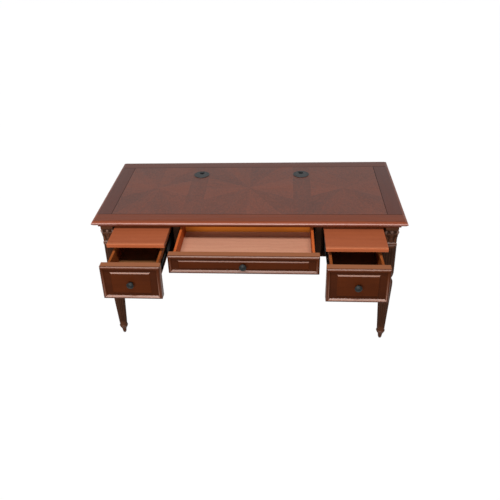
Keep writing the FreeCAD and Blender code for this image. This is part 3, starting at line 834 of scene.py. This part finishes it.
CAPITAL_EYE = 684 * MM
SCROLL_EYE = 36 * MM
SCROLL_TURNS = 1.4
SCROLL_STEPS = 20
SCROLL_RADIUS = 8.6 * MM
SCROLL_CLOSING = 0.72
SCROLL_STEM = ((35.5, 640), (36.5, 652), (38.5, 664), (41.0, 673), (43.6, 679))
SCROLL_STEM_WIDTHS = (6, 7, 8, 9, 10)
LEAF_SHARES = (0.0, 0.14, 0.28, 0.42, 0.56, 0.70, 0.82)
LEAF_WIDTHS = (15, 20, 17.5, 22, 18.5, 21, 17, 14, 9, 4.5)
FLOWER_SIDES = 20


def ribbon(name, path, widths, thickness, crease=0.0, bend=0.0):
    """A carved leaf or scroll: an edge drawn along (reach, height) points, bent and thickened."""
    rest_hands()
    bpy.ops.mesh.primitive_plane_add(size=1, location=(0, 0, 0))
    piece = bpy.context.object
    piece.name = name
    edit(piece)
    bpy.ops.mesh.delete(type="ONLY_FACE")
    pick(piece, lambda v: v.co.x > 0)
    bpy.ops.mesh.delete(type="VERT")
    bpy.ops.mesh.select_all(action="SELECT")
    bpy.ops.mesh.subdivide(number_cuts=5)
    bpy.ops.mesh.select_all(action="SELECT")
    reach, height = path[0]
    bpy.ops.transform.translate(value=(reach + 0.5, 0, height))
    bpy.ops.transform.resize(value=(1, widths[0], 1), center_override=(reach, 0, height))
    for i in range(1, len(path)):
        move = (path[i][0] - path[i - 1][0], 0, path[i][1] - path[i - 1][1])
        bpy.ops.mesh.extrude_edges_move(TRANSFORM_OT_translate={"value": move})
        bpy.ops.transform.resize(value=(1, widths[i] / widths[i - 1], 1), center_override=(0, 0, 0))
    if bend:
        for (reach, height), width in zip(path, widths):
            at = Vector((reach, 0, height))
            for share in (1 / 3, 2 / 3, 1.0):
                side = width / 2 * share
                pick(piece, lambda v: abs(abs(v.co.y) - side) < HAIR and (v.co - at).xz.length < HAIR)
                bpy.ops.transform.translate(value=(-side * side / (2 * bend), 0, 0))
    if crease:
        pick(piece, lambda v: abs(v.co.y) < HAIR)
        bpy.ops.transform.translate(value=(crease, 0, 0))
    bpy.ops.mesh.select_all(action="SELECT")
    bpy.ops.mesh.normals_make_consistent(inside=False)
    done()
    modify(piece, "SOLIDIFY", thickness=thickness, offset=0.0)
    modify(piece, "SUBSURF", levels=1, render_levels=1)
    return piece


def capital_profile():
    """Collar band, hollow bell, the waist behind the scrolls and the plain block."""
    z = LEVEL
    rows = points_near(COLLAR_HALF, z["collar_low"],
                       [(-2.5, 0), (-0.7, 0.6), (0, 1.8), (0, 3.6), (-1.4, 4.8)])
    rows += arc_steps(rows[-1], (COLLAR_HALF - 1.4 * MM, z["collar_high"] - 3 * MM), 1.4 * MM, 8)
    rows += points_near(COLLAR_HALF, z["collar_high"], [(-2.6, -2)])
    rows += [(BELL_FOOT, z["collar_high"])]
    rows += arc_steps(rows[-1], (BELL_TOP, z["bell_top"]), -BELL_HOLLOW, 12)
    rows += points_near(BELL_TOP, z["bell_top"], [(-3, 1)])
    rows += points_near(BELL_TOP, z["block_low"], [(-3, -1), (0, 0)])
    rows += points_near(BLOCK_HALF, z["block_low"], [(-1, 1), (0, 3)])
    rows += points_near(BLOCK_HALF, z["block_high"], [(0, -1), (-1, 0)])
    return rows


def make_scroll():
    """A scroll that climbs the corner of the bell and curls in under the corner of the block."""
    rows = [(reach * MM, height * MM) for reach, height in SCROLL_STEM]
    widths = [w * MM for w in SCROLL_STEM_WIDTHS]
    for i in range(SCROLL_STEPS + 1):
        t = i / SCROLL_STEPS
        radius = SCROLL_RADIUS * (1 - SCROLL_CLOSING * t)
        a = math.radians(-10) + SCROLL_TURNS * 2 * math.pi * t
        rows.append((SCROLL_EYE + radius * math.cos(a), CAPITAL_EYE + radius * math.sin(a)))
        widths.append((10.5 - 0.15 * i) * MM)
    return ribbon("scroll", rows, widths, 2.4 * MM)


def leaf_path(base, tip, curl, spread):
    """A leaf that hugs the bell from base to tip, and curls out over the last of its height."""
    rows = []
    for share in LEAF_SHARES:
        height = base + (tip - base) * share
        t = (height - LEVEL["collar_high"]) / (LEVEL["bell_top"] - LEVEL["collar_high"])
        bell = BELL_FOOT + (BELL_TOP - BELL_FOOT) * t - BELL_HOLLOW * math.sin(math.pi * t)
        rows.append((bell * spread + 1.2 * MM + 0.8 * MM * share, height))
    reach = rows[-1][0]
    for out, drop in ((0.5, 1.5 * MM), (1.0, 0.3 * MM), (1.35, 2.6 * MM)):
        rows.append((reach + out * curl, tip - drop))
    return rows


def make_leaf(name, base, tip, curl, spread=1.0, breadth=1.0, crease=1.2, bend=90):
    """One leaf of the bell, its sizes in millimetres; spread and breadth are shares."""
    path = leaf_path(base * MM, tip * MM, curl * MM, spread)
    widths = [breadth * (w * MM) for w in LEAF_WIDTHS]
    return ribbon(name, path, widths, 2.0 * MM, crease * MM, bend * MM)


def make_flower(reach, height):
    """A small flower with a raised eye, facing +X."""
    rest_hands()
    bpy.ops.mesh.primitive_circle_add(vertices=FLOWER_SIDES, radius=8.5 * MM, fill_type="NGON",
                                      location=(0, 0, 0))
    flower = bpy.context.object
    flower.name = "flower"
    edit(flower)
    bpy.ops.mesh.select_all(action="SELECT")
    bpy.ops.mesh.extrude_region_move(TRANSFORM_OT_translate={"value": (0, 0, 3 * MM)})
    for width, rise in ((2.5, 1.5), (2.0, -1.2), (1.0, 2.4)):
        bpy.ops.mesh.inset(thickness=width * MM, depth=rise * MM)

    def between_petals(v):
        spoke = round(math.atan2(v.co.y, v.co.x) / (2 * math.pi / FLOWER_SIDES))
        return spoke % 4 == 0 and v.co.xy.length > 4 * MM

    pick(flower, between_petals)
    bpy.ops.transform.resize(value=(0.72, 0.72, 1), center_override=(0, 0, 0))
    done()
    modify(flower, "SUBSURF", levels=1, render_levels=1)
    outward(flower)
    flower.data.transform(Matrix.Translation((reach, 0, height)) @ Matrix.Rotation(math.pi / 2, 4, "Y"))
    return flower


def make_capital():
    """Collar, bell and block, with corner scrolls, flowers and leaves about one leg's axis."""
    pieces = [squared("capital_core", capital_profile())]
    scroll = make_scroll()
    low_leaf = make_leaf("low_leaf", base=624, tip=648, curl=2.4)
    high_leaf = make_leaf("high_leaf", base=630, tip=673, curl=2.0, breadth=0.9)
    corner_leaf = make_leaf("corner_leaf", base=624, tip=660, curl=2.4, spread=1.34, crease=0.8, bend=9)
    flower = make_flower(BELL_TOP - 4 * MM, CAPITAL_EYE)
    patterns = ((low_leaf, 0.0), (high_leaf, 0.0), (flower, 0.0), (corner_leaf, 0.5), (scroll, 0.5))
    for i in range(4):
        for pattern, offset in patterns:
            angle = (i + offset) * math.pi / 2
            pieces.append(around(pattern, angle, "%s_%d" % (pattern.name, i)))
    for pattern, offset in patterns:
        bpy.data.objects.remove(pattern)
    return pieces


FLUTE_PAINTED_SHADE = 0.7
BELL_PAINTED_SHADE = 0.75
NECK_PAINTED_SHADE = 0.6
CUFF_SHINE = 0.4
COLLAR_WEAR_AND_HIGHLIGHT = 0.2
CARVING_BACK = 29.5 * MM
CARVING_FACE = 29 * MM
SCROLL_FACE = 28 * MM


def square_reach(co):
    return max(abs(co.x), abs(co.y))


def leg_hollow(co, normal):
    """Painted shade at a point of the leg, in the glaze colour: in the flutes, the neck and behind the
    leaves.
    """
    z = LEVEL
    r = co.xy.length
    if z["ankle"] < co.z < z["taper"]:
        share = (co.z - z["ankle"]) / (z["taper"] - z["ankle"])
        ridge = ANKLE + (SWELL - ANKLE) * share
        return FLUTE_PAINTED_SHADE * climb(ridge - r, 0.0, FLUTE_DEPTH)
    if z["shaft"] < co.z < z["collar_low"] - 4 * MM:
        return FLUTE_PAINTED_SHADE * climb(SHAFT - r, 0.0, FLUTE_DEPTH)
    if z["collar_high"] - 2 * MM < co.z < z["block_low"]:
        return BELL_PAINTED_SHADE * climb(CARVING_BACK - square_reach(co), 0.0, 3 * MM)
    if z["taper"] < co.z < z["shaft"]:
        return NECK_PAINTED_SHADE * climb(SHAFT - r, 0.0, 13 * MM)
    return 0.0


def leg_rubbed(co, normal):
    """Where hands and polish have brightened the leg: the collar, the leaf tips, the scrolls and the cuff."""
    z = LEVEL
    facing_up = climb(normal.z, 0.0, 0.4)
    if z["collar_high"] < co.z < z["block_low"]:
        return climb(square_reach(co), CARVING_FACE, 2 * MM) * facing_up
    if z["collar_low"] < co.z < z["collar_high"]:
        return facing_up
    if z["rim"] - 6 * MM < co.z < z["rim"] + 6 * MM:
        return CUFF_SHINE
    return 0.0


def leg_wear_and_highlight(co, normal):
    """Worn colour on the scrolls, the flowers and the top of the collar: wear, and a painted highlight on the
    parts turned out and up to the lamps.
    """
    z = LEVEL
    if z["bell_top"] < co.z < z["block_low"]:
        corner = min(abs(co.x), abs(co.y)) / square_reach(co)
        return climb(square_reach(co), SCROLL_FACE, 2 * MM) * (0.3 + 0.4 * corner)
    if z["collar_low"] < co.z < z["collar_high"]:
        return COLLAR_WEAR_AND_HIGHLIGHT * climb(normal.z, 0.0, 0.4)
    return 0.0


def make_legs():
    leg = turned("leg_pattern", leg_profile(), LEG_SIDES)
    flute(leg)
    leg = join("leg_pattern", [leg] + make_capital())
    smooth(leg, 40)
    mark(leg, "sunk", leg_hollow)
    mark(leg, "rubbed", leg_rubbed)
    mark(leg, "wear_and_highlight", leg_wear_and_highlight)
    for row in ("front", "back"):
        for side in ("left", "right"):
            node = "leg_%s_%s" % (row, side)
            low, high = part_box(node)
            piece = twin(leg, node + "_turned")
            piece.data.transform(Matrix.Translation(((low.x + high.x) / 2, (low.y + high.y) / 2, 0)))
            dress(piece, FINISH["leg_wood"], [node])
    bpy.data.objects.remove(leg)


# Knobs, as (radius, height) steps in millimetres from the rose to the crown

KNOB_STEPS = ((8.4, 0), (9, 0.6), (9, 2.4), (8.2, 3), (6.6, 3.6), (6, 5), (6, 9), (6.8, 11), (10, 12.8),
              (14.4, 15), (16.8, 16.6), (17.5, 18.2), (17.2, 19.4), (16.2, 20.2), (15.4, 20.5), (14.8, 21.2),
              (12.6, 23), (9.2, 24.7), (5, 25.7), (1.2, 26))
KNOB_SIDES = 40
KNOB_LENGTH = KNOB_STEPS[-1][1] * MM


def make_knobs():
    pattern = turned("knob_pattern", [(r * MM, h * MM) for r, h in KNOB_STEPS], KNOB_SIDES)
    pattern.data.transform(Matrix.Rotation(math.pi / 2, 4, "X"))
    smooth(pattern, 50)
    for name in ("centre", "left", "right"):
        node = name + "_drawer_knob"
        low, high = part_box(node)
        piece = twin(pattern, name + "_drawer_pewter_knob")
        seat = low.y + KNOB_LENGTH
        piece.data.transform(Matrix.Translation(((low.x + high.x) / 2, seat, (low.z + high.z) / 2)))
        dress(piece, FINISH["knob_metal"], [node])
    bpy.data.objects.remove(pattern)


# Camera, light and floor

CAMERA_PLACE = Vector((0.18729, -3.00109, 2.19723))
CAMERA_YAW = math.radians(-6.75)
CAMERA_DOWN = math.radians(30.17)
CAMERA_ROLL = math.radians(-3.07)
CAMERA_LENS = 43.616
CAMERA_SENSOR = 36.0
CAMERA_SHIFT = (0.05699, -0.02242)
WORLD_LIGHT = 0.19
FLOOR_COLOUR = (0.4, 0.4, 0.4, 1)
FLOOR_GLOW = 1.02
FLOOR_GLOW_SHARE = 0.985


def make_camera():
    data = bpy.data.cameras.new("camera")
    data.lens = CAMERA_LENS
    data.sensor_width = CAMERA_SENSOR
    data.shift_x, data.shift_y = CAMERA_SHIFT
    camera = bpy.data.objects.new("camera", data)
    level = math.cos(CAMERA_DOWN)
    ahead = Vector((math.sin(CAMERA_YAW) * level, math.cos(CAMERA_YAW) * level, -math.sin(CAMERA_DOWN)))
    right = Vector((math.cos(CAMERA_YAW), -math.sin(CAMERA_YAW), 0))
    up = right.cross(ahead)
    tilted_right = math.cos(CAMERA_ROLL) * right + math.sin(CAMERA_ROLL) * up
    tilted_up = math.cos(CAMERA_ROLL) * up - math.sin(CAMERA_ROLL) * right
    turn = Matrix((tilted_right, tilted_up, -ahead)).transposed().to_4x4()
    camera.matrix_world = Matrix.Translation(CAMERA_PLACE) @ turn
    bpy.context.scene.collection.objects.link(camera)
    bpy.context.scene.camera = camera


def make_lamp(name, place, target, size, power):
    data = bpy.data.lights.new(name, "AREA")
    data.shape = "RECTANGLE"
    data.size, data.size_y = size
    data.energy = power
    lamp = bpy.data.objects.new(name, data)
    lamp.location = place
    lamp.rotation_euler = (Vector(target) - Vector(place)).to_track_quat("-Z", "Y").to_euler()
    bpy.context.scene.collection.objects.link(lamp)


def seen_directly(n):
    """1 for what the camera, a mirror or a glass sees, and 0 for the light that falls on things."""
    path = n.add("LightPath")
    return n.math("MAXIMUM", path.outputs["Is Camera Ray"],
                  n.math("MAXIMUM", path.outputs["Is Glossy Ray"], path.outputs["Is Transmission Ray"]))


def make_light():
    world = bpy.data.worlds.new("studio")
    world.use_nodes = True
    bpy.context.scene.world = world
    n = Nodes(world.node_tree)
    back = world.node_tree.nodes["Background"]
    back.inputs["Color"].default_value = (1, 1, 1, 1)
    strength = n.math("MULTIPLY_ADD", seen_directly(n), 1 - WORLD_LIGHT, WORLD_LIGHT)
    n.wire(strength, back.inputs["Strength"])
    make_lamp("key", place=(-0.05, -1.65, 3.2), target=(0, -0.38, 0.72), size=(2.6, 0.45), power=96)
    make_lamp("low_fill", place=(-0.5, -4.2, 1.58), target=(0, -0.4, 0.7), size=(3.0, 0.45), power=175)


def make_floor():
    rest_hands()
    bpy.ops.mesh.primitive_plane_add(size=80, location=(0, 0, -0.5 * MM))
    floor = bpy.context.object
    floor.name = "floor"
    material, n, shader = blank_material("floor")
    tree = material.node_tree
    tree.nodes.remove(shader)
    matt = n.add("BsdfDiffuse")
    matt.inputs["Color"].default_value = FLOOR_COLOUR
    glow = n.add("Emission")
    glow.inputs["Strength"].default_value = FLOOR_GLOW
    blend = n.add("MixShader")
    n.wire(n.math("MULTIPLY", seen_directly(n), FLOOR_GLOW_SHARE), blend.inputs[0])
    n.wire(matt.outputs[0], blend.inputs[1])
    n.wire(glow.outputs[0], blend.inputs[2])
    n.wire(blend.outputs[0], tree.nodes["Material Output"].inputs["Surface"])
    floor.data.materials.append(material)


make_camera()
make_light()
make_floor()
make_top()
make_case()
make_drawer_boxes()
make_slides()
make_front("centre", margin=31 * MM, slope=4.5 * MM, foot_shine=0.5, panel_shine=0.6)
make_front("left", margin=37 * MM, slope=6 * MM, foot_shine=1.0, panel_shine=0.9)
make_front("right", margin=37 * MM, slope=6 * MM, foot_shine=1.0, panel_shine=0.8)
make_legs()
make_knobs()
bpy.context.scene.view_settings.view_transform = "Standard"
